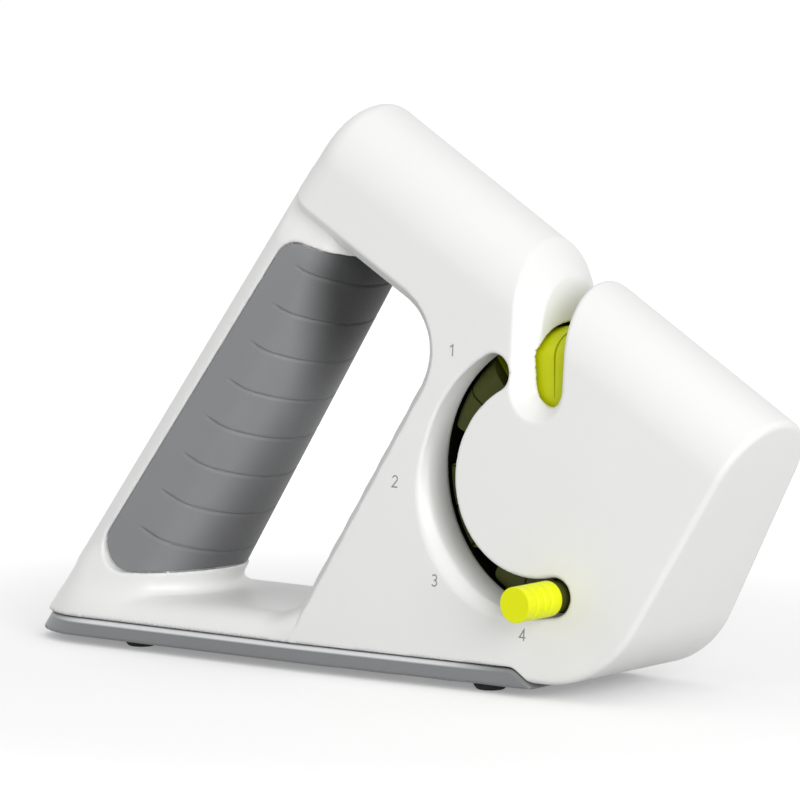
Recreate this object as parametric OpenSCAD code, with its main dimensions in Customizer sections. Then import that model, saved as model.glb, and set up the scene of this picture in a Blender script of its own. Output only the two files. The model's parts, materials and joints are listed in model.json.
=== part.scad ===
// Hand-held kitchen knife and scissors sharpener with a four-stage drum.
// +X runs to the nose, -Y is the side with the selector knob, +Z is up.

/* [Body] */
// Angle of the barrel below the level, degrees
body_tilt = 30; // [29.5:0.1:30.5]
// Angle of the back line above the level, degrees
back_angle = 55.5; // [55:0.1:56]
// Heel to drum axis, along the level
axis_from_heel = 152.8; // [151:0.1:156]
// Floor to drum axis
axis_height = 50.2; // [49.5:0.1:52]
// Drum axis to the ridge, square to the barrel
ridge_rise = 41.5; // [41:0.1:43]
// Drum axis to the end face, along the barrel
end_reach = 41; // [40.6:0.1:44]
// Drum axis back to the finger opening, along the barrel
head_reach = 40; // [39.6:0.1:41]
// Ridge to the ledge under the barrel
barrel_depth = 27.8; // [27:0.1:28.5]
// Radius of the rounded ridge, seen from the nose
crown_r = 16.4; // [16:0.1:17.5]
// Draft of the side panels, degrees
side_draft = 5; // [4.5:0.1:6]
// Radius of the upper back corner in side view
corner_r = 12; // [10:0.5:14]
// Radius of the lower nose corner in side view
nose_r = 28; // [24:0.5:29]
// Radius of the opening's upper corner beside the head
gusset_r = 14.5; // [12:0.5:16]
// Wall thickness of the housing
wall = 2.4; // [2:0.1:2.6]
// Height of the housing's seat on the base plate
seat_z = 7; // [6.5:0.1:7.5]
// Height of the nose above the floor
nose_z = 3.5; // [3.2:0.1:4]

/* [Handle] */
// Depth of the handle, back to front
handle_depth = 27.5; // [26.5:0.1:29]
// Half width of the handle
handle_half = 16; // [15.6:0.1:16.4]
// Radius of the handle's rear edges
handle_edge_r = 8; // [6:0.5:9]
// Radius of the handle's inner side
handle_nose_r = 20.5; // [20:0.1:23]
// Thickness of the soft grip
grip_t = 1.6; // [1.2:0.1:1.8]
// How far the grip stands above the handle
grip_proud = 0.4; // [0.2:0.1:0.6]
// Distance of the grip's edge from the back line
grip_edge = 6.5; // [5:0.1:8]
// Height of the grip's lower edge
grip_low = 21; // [20.2:0.1:23]
// Gap between the grip's upper edge and the ledge
grip_gap = 4; // [3:0.1:6]
// Number of finger grooves
groove_count = 8; // [6:1:8]
// Spacing of the finger grooves along the handle
groove_pitch = 11.4; // [10.8:0.1:11.6]
// Height of the lowest groove along the handle
groove_start = 39; // [38:0.1:40]
// Width of a finger groove
groove_w = 1.4; // [1:0.1:2]
// Depth of a finger groove
groove_depth = 0.8; // [0.5:0.1:1]

/* [Base] */
// Half width of the base behind the opening
base_half = 25; // [24.5:0.1:25.5]
// Half width of the base at its front end
base_front_half = 21.2; // [20.5:0.1:21.6]
// Corner radius of the heel in plan
heel_r = 13; // [10:0.5:15]
// Height of the opening's floor
floor_z = 18.8; // [18.4:0.1:19.6]
// Half width of the foot of the handle
neck_half = 20; // [19:0.1:21]
// Thickness of the base plate
plate_t = 5; // [4.6:0.1:5.2]
// Where the plate's front slope starts, behind the axis
plate_front = 5.3; // [4:0.1:7]
// Length of the plate's front slope
plate_slope = 9.5; // [8:0.1:11]
// Thickness of the plate's bottom
plate_floor = 2.2; // [2:0.1:2.6]
// Width of the plate's rim
plate_rim = 2.2; // [2:0.1:3]
// Diameter of a rubber foot
foot_d = 8; // [7:0.1:9]
// Depth of the pocket that holds a foot
foot_pocket = 0.8; // [0.6:0.1:1]
// Distance of the rear feet from the heel
foot_rear = 32.5; // [30:0.5:36]
// Distance of the front feet from the heel
foot_front = 138; // [134:0.5:140]
// Distance of the feet from the middle plane
foot_side = 16; // [15:0.1:16.4]

/* [Slots] */
// Radius of the middle of the selector slot
arc_r = 27.2; // [27:0.1:27.4]
// Width of the selector slot
arc_w = 9.6; // [9.4:0.1:10]
// Angle of the slot's lower end, degrees
arc_low = 282; // [281.5:0.5:282.5]
// Angle between two stages, degrees
stage_step = 54; // [53.6:0.1:54.4]
// Width of the knife slot
knife_w = 9; // [8:0.1:10]
// Offset of the knife slot from the drum axis
knife_offset = 0.8; // [0.4:0.1:1.2]
// Height of the knife slot's bottom above the drum axis
knife_low = 16.3; // [15.5:0.1:17]
// Radius of the flare at the selector slot's outer edge
arc_flare = 2; // [1.2:0.1:2.2]

/* [Drum] */
// Radius of the drum's lobes
drum_r = 34; // [33:0.1:34.2]
// Half thickness of the drum
drum_half = 11.5; // [11:0.1:11.6]
// Chamfer at the rim of the lobes
rim_chamfer = 2.5; // [2.2:0.1:3.5]
// Radius of the drum's hub
hub_r = 18; // [17.5:0.1:18.5]
// Half angle of a lobe, degrees
lobe_half = 17; // [16:0.5:18]
// Half angle of the arm under the knob, degrees
arm_half = 8; // [7:0.5:9]
// Width of the blade slit in a lobe
slit_w = 2.6; // [2.2:0.1:3]
// Radius where the blade slit starts
slit_r = 19.5; // [19:0.1:20.5]
// Gap between drum and housing bosses
drum_gap = 1.6; // [1.5:0.05:1.8]
// Diameter of the axle
axle_d = 6; // [5.6:0.1:6.4]
// Length of the axle
axle_len = 32; // [31:0.1:32.6]
// Running clearance on the axle, per side
axle_clear = 0.05; // [0.03:0.01:0.08]
// Diameter of the axle bosses
boss_d = 12; // [11:0.5:13]
// Thickness of the wave washer
washer_t = 0.4; // [0.3:0.05:0.45]
// Half height of the washer's waves
washer_wave = 0.3; // [0.2:0.05:0.3]
// Outer diameter of the wave washer
washer_d = 11; // [10:0.1:11.6]

/* [Knob] */
// Diameter of the selector knob
knob_d = 8.3; // [8:0.1:8.5]
// How far the knob stands out from the middle plane
knob_reach = 34.2; // [33:0.1:35]
// Depth of the rings near the knob's foot
knob_ring = 0.35; // [0.2:0.05:0.5]
// Diameter of the knob's stem in the drum
stem_d = 5; // [4.6:0.1:5.2]
// Length of the stem in the drum
stem_len = 6; // [5:0.1:7]

/* [Abrasives] */
// Diameter of the abrasive rods
rod_d = 3.2; // [3:0.1:3.4]
// Length of the abrasive rods
rod_len = 15; // [14:0.1:15.6]
// Thickness of the carbide blades
blade_t = 2; // [1.8:0.1:2.2]
// Width of the carbide blades
blade_w = 4; // [3.6:0.1:4.2]
// Radius where the two abrasives cross
cross_r = 24.5; // [24:0.1:25]
// Lean of each abrasive from the blade, degrees
lean = 18; // [17:0.5:19]
// Lean of the scissor rods from the blade, degrees
scissor_lean = 12; // [11:0.5:13]
// Distance of each abrasive from the middle plane
abrasive_y = 3.4; // [3.2:0.1:3.8]
// Clearance round an abrasive, per side
seat_clear = 0.05; // [0.03:0.01:0.1]

/* [Fasteners] */
// Shank diameter of the screws
screw_d = 2.9; // [2.7:0.1:3]
// Head diameter of the screws
head_d = 5.4; // [5.2:0.1:5.6]
// Head height of the screws
head_h = 1.8; // [1.6:0.1:2]
// Length of a housing screw's shank
screw_len = 20; // [18:0.5:21]
// Length of a base screw's shank
base_screw_len = 7; // [6:0.5:7.4]
// Length of a drum screw's shank
drum_screw_len = 16; // [14:0.5:17]
// Diameter of the screw bosses
post_d = 7; // [6.6:0.1:7.2]
// Recess of a housing screw's head from the middle plane
head_seat = 9.5; // [9:0.1:10]

/* [Hidden] */
$fn = 48;
slip = 0.1;
bite = 0.04;
barrel_half = (crown_r + (barrel_depth - crown_r) * sin(side_draft)) / cos(side_draft) - 0.1;
boss_end = crown_r / cos(side_draft) + (ridge_rise - crown_r) * tan(side_draft) - wall / 2;
ax = axis_from_heel;
az = axis_height;
ct = cos(body_tilt);
st = sin(body_tilt);
cb = cos(back_angle);
sb = sin(back_angle);
ledge = ridge_rise - barrel_depth;
plate_z = seat_z - plate_t;
stage_span = 3 * stage_step;
arc_high = arc_low - stage_span;
station_angles = [90, 90 + stage_step, 90 + 2 * stage_step, 90 + 3 * stage_step];
// Point of the side view from its place along and square to the barrel
function bq(p, q) = [ax + p * ct + q * st, az - p * st + q * ct];
// Place along the barrel where the level z is met at the square distance q
function p_at(q, z) = (az - z + q * ct) / st;
// Square distance where the level z is met at the place p along the barrel
function q_at(p, z) = (z - az + p * st) / ct;
// Point on the back line, set in by d, at the level z
function back_x(z, d) = z * cb / sb + d / sb;
// Place of the back line, set in by d, on the line at square distance q
function back_p(q, d) = (d + (az + q * ct) * cb - (ax + q * st) * sb) / (ct * sb + st * cb);
end_x = bq(end_reach, ridge_rise)[0];
side_far = base_half;
heel_x = back_x(plate_z, 0);
mid_x = (heel_x + end_x) / 2;
mid_y = (side_far - knob_reach) / 2;

// Puts the part in the shared frame: box centred in X and Y, feet on z = 0
module place() {
  translate([-mid_x, -mid_y, 0]) children();
}
// Extrudes a side view across the body
module side(h = 90) {
  rotate([90, 0, 0]) linear_extrude(height = h, center = true) children();
}
// Moves to the drum axis
module at_axis() {
  translate([ax, 0, az]) children();
}
// Turns to the barrel's own directions at the drum axis
module tilted() {
  at_axis() rotate([0, body_tilt, 0]) children();
}
// Turns to the handle's own directions at the heel
module leaning() {
  rotate([0, 90 - back_angle, 0]) children();
}
// Cylinder along Y from y0 to y1
module pin(r, y0, y1) {
  translate([0, y1, 0]) rotate([90, 0, 0]) cylinder(r = r, h = y1 - y0);
}
// Side view of barrel and head, set in by d
module block_side(d) {
  top = ridge_rise - d;
  low = ledge + d;
  cr = corner_r - d;
  nr = nose_r - d;
  gr = gusset_r + d;
  pe = end_reach - d;
  ph = -head_reach + d;
  zb = d > 0 ? seat_z + d : nose_z;
  half = (180 - back_angle - body_tilt) / 2;
  run = cr / tan(half);
  top_p = back_p(top, d);
  c_p = top_p + run;
  tang = [top_p - run * cos(back_angle + body_tilt), top - run * sin(back_angle + body_tilt)];
  nose_p = pe - nr;
  nose_q = q_at(nose_p, zb + nr);
  difference() {
    union() {
      polygon([bq(back_p(low, d), low), bq(tang[0], tang[1]), bq(c_p, top - cr), bq(c_p, top),
        bq(pe, top), bq(pe, nose_q), bq(nose_p, nose_q), bq(nose_p + nr * st, nose_q - nr * ct),
        bq(ph, q_at(ph, zb)), bq(ph, low - gr), bq(ph - gr, low - gr), bq(ph - gr, low)]);
      translate(bq(c_p, top - cr)) circle(r = cr + bite);
      translate(bq(nose_p, nose_q)) circle(r = nr + bite);
    }
    translate(bq(ph - gr, low - gr)) circle(r = gr + bite);
  }
}
// Section of barrel and head seen from the nose, set in by d
module arch(d) {
  r = crown_r - d;
  yt = (r - bite) * cos(side_draft);
  zt = (r - bite) * sin(side_draft);
  fall = 130;
  grow = fall * tan(side_draft);
  translate([0, ridge_rise - crown_r]) {
    circle(r = r);
    polygon([[-yt, zt], [yt, zt], [yt + grow, zt - fall], [-yt - grow, zt - fall]]);
  }
}
// Corner cutters that round the upright edges at the back, set in by d
module back_edges(d) {
  er = handle_edge_r - d;
  hw = barrel_half - d;
  leaning() translate([0, 0, 40]) linear_extrude(height = 160) for (s = [-1, 1]) difference() {
    translate([-9, s > 0 ? hw - er : -hw + er - 20]) square([9 + d + er, 20]);
    translate([d + er, s * (hw - er)]) circle(r = er);
  }
}
// Barrel and head as one solid, set in by d
module block(d) {
  difference() {
    intersection() {
      side() block_side(d);
      tilted() translate([-140, 0, 0]) rotate([90, 0, 90]) linear_extrude(height = 240) arch(d);
    }
    back_edges(d);
  }
}
// Section of the handle, set in by d
module handle_section(d) {
  hw = handle_half - d;
  er = handle_edge_r - d;
  intersection() {
    union() {
      translate([d + er, -hw]) square([handle_depth, 2 * hw]);
      translate([d, -hw + er]) square([handle_depth, 2 * (hw - er)]);
      for (s = [-1, 1]) translate([d + er, s * (hw - er)]) circle(r = er);
    }
    translate([handle_depth - handle_nose_r, 0]) circle(r = handle_nose_r - d);
  }
}
// Handle from the base up into the barrel, set in by d
module handle(d) {
  intersection() {
    leaning() linear_extrude(height = 160) handle_section(d);
    side() polygon([[-20, seat_z + d], [120, seat_z + d], bq(20, ledge + 6), bq(-110, ledge + 6)]);
  }
}
// Section of the base behind the head, set in by d
module foot_section(d) {
  bend = (pow(base_half - neck_half, 2) + pow(floor_z - seat_z - 1.5, 2)) / (2 * (base_half - neck_half));
  difference() {
    translate([-base_half + d, seat_z + d]) square([2 * (base_half - d), floor_z - seat_z - 2 * d]);
    for (s = [-1, 1]) translate([s * (neck_half + bend), floor_z]) circle(r = bend + d);
  }
}
// Plan of the heel, set in by d
module heel_plan(d, x0) {
  r = heel_r - d;
  hw = base_half - d;
  translate([x0 + d + r, -hw]) square([100, 2 * hw]);
  translate([x0 + d, -hw + r]) square([100, 2 * (hw - r)]);
  for (s = [-1, 1]) translate([x0 + d + r, s * (hw - r)]) circle(r = r);
}
// Base of handle and opening, set in by d
module foot_block(d) {
  far = bq(-head_reach, q_at(-head_reach, seat_z))[0] + 6;
  intersection() {
    translate([-10, 0, 0]) rotate([90, 0, 90]) linear_extrude(height = far + 10) foot_section(d);
    side() polygon([[back_x(seat_z, d), seat_z], [120, seat_z], [120, floor_z], [back_x(floor_z, d), floor_z]]);
    linear_extrude(height = 40) heel_plan(d, back_x(seat_z, 0) - 0.8);
  }
}
// Whole body, set in by d
module body(d) {
  block(d);
  handle(d);
  foot_block(d);
}
// Side view of the room taken by the base plate
module plate_side(gap) {
  x1 = ax - plate_front;
  polygon([[-20, -20], [-20, seat_z + gap], [x1 + gap, seat_z + gap],
    [x1 + plate_slope + gap, plate_z + gap], [x1 + plate_slope + gap, -20]]);
}
// Places of the housing screws in side view
screw_spots = [bq(-78, ridge_rise - 14), bq(-37, 23), bq(32.5, 21.5), bq(33, -23.5), bq(-32.5, -30), [26, 15]];
// Cylinders at each housing screw
module at_screws(r, y0, y1) {
  for (s = screw_spots) translate([s[0], 0, s[1]]) pin(r, y0, y1);
}
// Both slots that open into the drum room
module knife_slot() {
  translate([knife_offset, 0, knife_low + knife_w / 2]) {
    pin(knife_w / 2, -40, 40);
    translate([-knife_w / 2, -40, 0]) cube([knife_w, 80, 60]);
  }
}
// Curved slot that the knob runs in, widened by g
module selector_slot(g) {
  rotate([90, 0, 0]) {
    rotate([0, 0, arc_high]) rotate_extrude(angle = stage_span)
      translate([arc_r - arc_w / 2 - g, drum_half + 1]) square([arc_w + 2 * g, 40]);
    for (a = [arc_low, arc_high]) rotate([0, 0, a])
      translate([arc_r, 0, drum_half + 1]) cylinder(r = arc_w / 2 + g, h = 40);
  }
}
// Flare round the outer edge of the selector slot, square to the panel
module selector_flare() {
  drop = ridge_rise - crown_r;
  r = arc_r + arc_w / 2;
  tilted() translate([0, 0, drop]) rotate([-side_draft, 0, 0])
    translate([0, -crown_r, -(drop + crown_r * sin(side_draft)) / cos(side_draft)]) rotate([90, 0, 0])
    rotate([0, 0, arc_high + body_tilt]) rotate_extrude(angle = stage_span)
    polygon([[r - 1, -arc_flare], [r, -arc_flare], [r + arc_flare + 1, 1], [r - 1, 1]]);
}
// Bosses, screw posts and shell on one side of the middle plane
module half_shell(s) {
  difference() {
    union() {
      difference() {
        body(0);
        body(wall);
      }
      intersection() {
        union() {
          at_screws(post_d / 2, -40, 40);
          for (x = [46, 116], y = [-1, 1]) translate([x, y * 12, seat_z + 1]) cylinder(d = post_d, h = 8);
        }
        body(wall / 2);
      }
      at_axis() pin(boss_d / 2, s < 0 ? -boss_end : drum_half + drum_gap, s < 0 ? -drum_half - drum_gap : boss_end);
    }
    side() plate_side(slip);
    at_axis() knife_slot();
    for (x = [46, 116], y = [-1, 1]) translate([x, y * 12, 0]) cylinder(d = screw_d, h = seat_z + 7);
  }
}

module left_housing() {
  color("#eeeeec") place() intersection() {
    difference() {
      half_shell(-1);
      at_axis() pin(axle_d / 2, -axle_len / 2, axle_len / 2);
      at_axis() selector_slot(0);
      selector_flare();
      at_screws(screw_d / 2, head_seat - screw_len, 30);
      grip_room();
    }
    translate([-50, -60, -10]) cube([320, 60, 180]);
  }
}

module right_housing() {
  color("#eeeeec") place() intersection() {
    difference() {
      half_shell(1);
      at_axis() pin(axle_d / 2, -axle_len / 2, axle_len / 2);
      at_screws(screw_d / 2 + slip, -1, 40);
      at_screws(head_d / 2 + slip, head_seat, 40);
      grip_room();
    }
    translate([-50, 0, -10]) cube([320, 60, 180]);
  }
}
// Part of the handle that the grip covers
module grip_zone(g) {
  side() polygon([[-20, grip_low - g], [110, grip_low - g], bq(-30, ledge - grip_gap + g),
    bq(-120, ledge - grip_gap + g)]);
}
// Room for the grip in the handle
module grip_room() {
  intersection() {
    grip_zone(slip);
    leaning() linear_extrude(height = 160) difference() {
      translate([grip_edge - slip, -40]) square([60, 80]);
      handle_section(grip_t);
    }
    leaning() translate([0, 0, 0]) linear_extrude(height = 160) translate([0, -30]) square([handle_depth + 3, 60]);
  }
}

module soft_grip() {
  color("#85878a") place() difference() {
    intersection() {
      grip_zone(0);
      leaning() linear_extrude(height = 160) difference() {
        intersection() {
          handle_section(-grip_proud);
          translate([grip_edge, -40]) square([60, 80]);
        }
        handle_section(grip_t - slip);
      }
    }
    for (i = [0 : groove_count - 1]) leaning()
      translate([0, 0, groove_start + i * groove_pitch - groove_w / 2]) linear_extrude(height = groove_w)
      difference() {
        translate([grip_edge + 2.5, -40]) square([60, 80]);
        handle_section(groove_depth - grip_proud);
      }
  }
}
// Plan of the base plate, set in by d
module plate_plan(d) {
  x0 = heel_x - 0.3;
  x1 = bq(-head_reach, q_at(-head_reach, seat_z))[0];
  x2 = ax - plate_front + plate_slope - d;
  intersection() {
    union() {
      heel_plan(d + 0.3, x0);
      polygon([[x1 - 20, -base_half + d + 0.3], [x1, -base_half + d + 0.3], [x2, -base_front_half + d],
        [x2, base_front_half - d], [x1, base_half - d - 0.3], [x1 - 20, base_half - d - 0.3]]);
    }
    polygon([[-20, -40], [x1, -40], [x1, -base_half + d + 0.3], [x2, -base_front_half + d],
      [x2, base_front_half - d], [x1, base_half - d - 0.3], [x1, 40], [-20, 40]]);
  }
}

module base_plate() {
  color("#7e8083") place() difference() {
    intersection() {
      translate([0, 0, plate_z]) linear_extrude(height = plate_t) plate_plan(0);
      side() plate_side(0);
    }
    difference() {
      intersection() {
        translate([0, 0, plate_z + plate_floor]) linear_extrude(height = plate_t) plate_plan(plate_rim);
        side() translate([-plate_rim - 3, 0]) plate_side(1);
      }
      for (x = [46, 116], y = [-1, 1]) translate([x, y * 12, 0]) cylinder(d = post_d + 2, h = 20);
    }
    for (x = [46, 116], y = [-1, 1]) translate([x, y * 12, plate_z - 1]) {
      cylinder(d = screw_d + 2 * slip, h = 20);
      cylinder(d = head_d + 2 * slip, h = 1 + head_h + slip);
    }
    at_feet() cylinder(d = foot_d + 2 * slip, h = 2 * foot_pocket, center = true);
  }
}
// Repeats a piece at the four feet, on the plate's underside
module at_feet() {
  for (x = [foot_rear, foot_front], y = [-1, 1]) translate([x, y * foot_side, plate_z]) children();
}

module rubber_feet() {
  color("#1c1c1e") place() at_feet() translate([0, 0, -plate_z]) {
    cylinder(d = foot_d, h = plate_z + foot_pocket - slip);
  }
}
// Wedge in the drum's plane between two angles, extruded across the drum
module sector(a0, a1, r) {
  rotate([90, 0, 0]) linear_extrude(height = 60, center = true)
    polygon([[0, 0], [r * cos(a0), r * sin(a0)], 1.3 * r * [cos((a0 + a1) / 2), sin((a0 + a1) / 2)],
      [r * cos(a1), r * sin(a1)]]);
}
// Turned outline of the drum's lobes
module lobe_disc() {
  rotate([90, 0, 0]) rotate_extrude() polygon([[0, -drum_half], [drum_r - rim_chamfer, -drum_half],
    [drum_r, -drum_half + rim_chamfer], [drum_r, drum_half - rim_chamfer],
    [drum_r - rim_chamfer, drum_half], [0, drum_half]]);
}
// Rod or blade seat at a station: lean to one side, at one distance from the middle plane
module at_station(i, s, tilt) {
  rotate([0, -station_angles[i], 0]) translate([cross_r, s * abrasive_y, 0]) rotate([0, 90 + s * tilt, 0])
    children();
}
// One rod, grown by g
module rod(g) {
  translate([0, 0, -rod_len / 2 - g]) cylinder(d = rod_d + 2 * g, h = rod_len + 2 * g);
}
// One carbide blade, grown by g
module blade(g) {
  cube([blade_t + 2 * g, blade_w + 2 * g, rod_len + 2 * g], center = true);
}
// All eight abrasives, grown by g
module abrasives(g) {
  for (s = [-1, 1]) {
    at_station(0, s, scissor_lean) rod(g);
    at_station(1, s, lean) rod(g);
    at_station(2, s, lean) rod(g);
    at_station(3, s, lean) blade(g);
  }
}
// Drum with slits and seats, before it is split
module drum() {
  difference() {
    union() {
      intersection() {
        lobe_disc();
        union() {
          for (a = station_angles) sector(a - lobe_half, a + lobe_half, 60);
          sector(arc_low - arm_half, arc_low + arm_half, 60);
        }
      }
      pin(hub_r, -drum_half + 0.2, drum_half - 0.2);
    }
    pin(axle_d / 2 + axle_clear, -30, 30);
    for (a = station_angles) rotate([0, -a, 0]) translate([slit_r, -30, -slit_w / 2]) cube([30, 60, slit_w]);
    abrasives(seat_clear);
    rotate([0, -arc_low, 0]) translate([arc_r, 0, 0]) pin(stem_d / 2 + slip / 2, -30, -drum_half + stem_len);
    at_drum_screws(screw_d / 2, drum_half - head_h - drum_screw_len - 0.5, 30);
    at_drum_screws(head_d / 2 + slip, drum_half - head_h - 0.4, 30);
  }
}
// Cylinders at each drum screw
module at_drum_screws(r, y0, y1) {
  for (a = [30, 150, 270]) rotate([0, -a, 0]) translate([11.5, 0, 0]) pin(r, y0, y1);
}

module drum_left_half() {
  color("#c8d40a") place() at_axis() intersection() {
    drum();
    translate([-50, -50, -50]) cube([100, 50, 100]);
  }
}

module drum_right_half() {
  color("#c8d40a") place() at_axis() intersection() {
    drum();
    translate([-50, 0, -50]) cube([100, 50, 100]);
  }
}

module drum_axle() {
  color("#b8babd") place() at_axis() pin(axle_d / 2 - slip / 10, -axle_len / 2 + slip, axle_len / 2 - slip);
}

// Point of the wave washer at step i of n, on its inner or outer edge and lower or upper face
function wave_point(i, n, r, y) = let(a = 360 * i / n)
  [r * cos(a), drum_half + drum_gap / 2 + washer_wave * cos(3 * a) + y, r * sin(a)];

module wave_washer() {
  n = 48;
  r0 = axle_d / 2 + 0.5;
  r1 = washer_d / 2;
  h = washer_t / 2;
  points = [for (i = [0 : n - 1]) each [wave_point(i, n, r0, -h), wave_point(i, n, r1, -h),
    wave_point(i, n, r1, h), wave_point(i, n, r0, h)]];
  faces = [for (i = [0 : n - 1], k = [0 : 3]) let(j = (i + 1) % n, m = (k + 1) % 4)
    each [[4 * i + k, 4 * i + m, 4 * j + m], [4 * i + k, 4 * j + m, 4 * j + k]]];
  color("#9a9c9f") place() at_axis() polyhedron(points, faces);
}

module selector_knob() {
  r = knob_d / 2;
  y0 = drum_half + 0.1;
  color("#dbe306") place() at_axis() rotate([0, -arc_low, 0]) translate([arc_r, 0, 0]) rotate([90, 0, 0])
    rotate_extrude() polygon([[0, y0 - stem_len + 0.3], [stem_d / 2, y0 - stem_len + 0.3], [stem_d / 2, y0],
      [r, y0], [r, 22.6], [r - knob_ring, 22.9], [r - knob_ring, 23.5], [r, 23.8], [r, 24.6],
      [r - knob_ring, 24.9], [r - knob_ring, 25.5], [r, 25.8], [r, 26.6], [r - knob_ring, 26.9],
      [r - knob_ring, 27.5], [r, 27.8], [r, knob_reach - 0.5], [r - 0.5, knob_reach], [0, knob_reach]]);
}

module coarse_blade_left() {
  color("#6f7276") place() at_axis() at_station(3, -1, lean) blade(0);
}

module coarse_blade_right() {
  color("#6f7276") place() at_axis() at_station(3, 1, lean) blade(0);
}

module medium_rod_left() {
  color("#8d8f93") place() at_axis() at_station(2, -1, lean) rod(0);
}

module medium_rod_right() {
  color("#8d8f93") place() at_axis() at_station(2, 1, lean) rod(0);
}

module fine_rod_left() {
  color("#f4f2ea") place() at_axis() at_station(1, -1, lean) rod(0);
}

module fine_rod_right() {
  color("#f4f2ea") place() at_axis() at_station(1, 1, lean) rod(0);
}

module scissor_rod_left() {
  color("#f4f2ea") place() at_axis() at_station(0, -1, scissor_lean) rod(0);
}

module scissor_rod_right() {
  color("#f4f2ea") place() at_axis() at_station(0, 1, scissor_lean) rod(0);
}
// Pan head screw along +Z with the seat of its head on z = 0
module screw(len) {
  difference() {
    union() {
      cylinder(d = head_d, h = head_h);
      translate([0, 0, -len]) cylinder(d = screw_d, h = len);
    }
    for (a = [0, 90]) rotate([0, 0, a]) translate([-1.4, -0.35, head_h - 0.9]) cube([2.8, 0.7, 2]);
  }
}

module housing_screws() {
  color("#a9abae") place() for (s = screw_spots) translate([s[0], head_seat, s[1]]) rotate([-90, 0, 0])
    screw(screw_len - 0.2);
}

module base_screws() {
  color("#a9abae") place() for (x = [46, 116], y = [-1, 1])
    translate([x, y * 12, plate_z + head_h]) rotate([180, 0, 0]) screw(base_screw_len);
}

module drum_screws() {
  color("#a9abae") place() at_axis() for (a = [30, 150, 270]) rotate([0, -a, 0])
    translate([11.5, drum_half - head_h - 0.4, 0]) rotate([-90, 0, 0]) screw(drum_screw_len);
}

left_housing();
right_housing();
base_plate();
rubber_feet();
soft_grip();
drum_left_half();
drum_right_half();
drum_axle();
wave_washer();
selector_knob();
coarse_blade_left();
coarse_blade_right();
medium_rod_left();
medium_rod_right();
fine_rod_left();
fine_rod_right();
scissor_rod_left();
scissor_rod_right();
housing_screws();
base_screws();
drum_screws();
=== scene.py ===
# %% [markdown]
# # A hand-held knife and scissors sharpener
# The object is a white moulded body in the shape of a triangle: a barrel on top, a handle behind the finger
# opening, and a head that holds a lime drum with four sharpening stages. This lesson dresses the packed
# solids, which it first loads as a fixed frame. Lengths are in millimetres from the drum's axis, because
# the drum is the one thing that turns and the frame says where it is.

# %% Frame, units and the drum's axis
import json

import bmesh
import bpy
import numpy as np
from mathutils import Matrix, Vector


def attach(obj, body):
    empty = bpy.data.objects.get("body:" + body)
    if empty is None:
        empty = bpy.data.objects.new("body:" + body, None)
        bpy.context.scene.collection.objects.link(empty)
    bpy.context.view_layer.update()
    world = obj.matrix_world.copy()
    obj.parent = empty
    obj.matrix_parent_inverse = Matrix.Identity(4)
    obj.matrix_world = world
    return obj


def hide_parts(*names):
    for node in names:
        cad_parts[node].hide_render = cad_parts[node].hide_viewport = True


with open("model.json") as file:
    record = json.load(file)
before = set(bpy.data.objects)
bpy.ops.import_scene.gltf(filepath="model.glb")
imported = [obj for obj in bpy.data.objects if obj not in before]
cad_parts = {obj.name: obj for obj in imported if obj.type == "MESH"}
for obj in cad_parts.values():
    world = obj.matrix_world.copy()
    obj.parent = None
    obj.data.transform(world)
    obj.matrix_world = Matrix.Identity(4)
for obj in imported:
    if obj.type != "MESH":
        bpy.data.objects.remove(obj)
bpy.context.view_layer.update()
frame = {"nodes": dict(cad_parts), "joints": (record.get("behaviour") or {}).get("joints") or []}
scene = bpy.context.scene
MM = 0.001
AXIS = np.array(frame["joints"][0]["pos_m"]) / MM
print("drum axis at", AXIS, "mm;", len(frame["nodes"]), "solids")

# %% [markdown]
# ## Camera
# The photograph was taken with a long lens from the nose side, a little above the object. Such a lens keeps
# parallel edges nearly parallel, so the viewing angle matters more than the distance.

# %% Camera
VIEW_TURN, VIEW_RISE = np.radians([37.9, 6.85])
VIEW_DISTANCE = 1570.0
VIEW_POINT = np.array([-4.8, 2.7, 63.2])
LENS, SENSOR, CLIP_END = 300.0, 36.0, 50.0

right = np.array([np.cos(VIEW_TURN), np.sin(VIEW_TURN), 0.0])
back = np.array([right[1] * np.cos(VIEW_RISE), -right[0] * np.cos(VIEW_RISE), np.sin(VIEW_RISE)])
up = np.cross(back, right)
camera_data = bpy.data.cameras.new("camera")
camera_data.lens, camera_data.sensor_width = LENS, SENSOR
camera_data.clip_end = CLIP_END
camera = bpy.data.objects.new("camera", camera_data)
turn = Matrix((right.tolist(), up.tolist(), back.tolist())).transposed().to_4x4()
camera.matrix_world = Matrix.Translation(((VIEW_POINT + VIEW_DISTANCE * back) * MM).tolist()) @ turn
scene.collection.objects.link(camera)
scene.camera = camera
print("camera stands", np.round(VIEW_POINT + VIEW_DISTANCE * back), "mm from the middle of the base")

# %% [markdown]
# ## Helpers for colours, shader nodes and meshes
# Colours are written as sRGB hex values, and one function turns them into the linear numbers that the
# renderer works with. Others add a shader node or a smooth fade, or turn arrays of points and faces into an
# object.


# %% Colour and node helpers
def linear(hex_code):
    """Linear RGBA of an sRGB hex value: the low part is a straight line, the rest a power of 2.4."""
    srgb = np.array([int(hex_code[i:i + 2], 16) for i in (1, 3, 5)]) / 255
    rgb = np.where(srgb <= 0.04045, srgb / 12.92, ((srgb + 0.055) / 1.055) ** 2.4)
    return (*rgb.tolist(), 1.0)


def add_node(tree, kind, inputs=None, **settings):
    """Adds one node: settings are its own properties, and inputs are socket values or links."""
    node = tree.nodes.new(kind)
    for name, value in settings.items():
        setattr(node, name, value)
    for name, value in (inputs or {}).items():
        if isinstance(value, bpy.types.NodeSocket):
            tree.links.new(value, node.inputs[name])
        else:
            node.inputs[name].default_value = value
    return node


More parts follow.
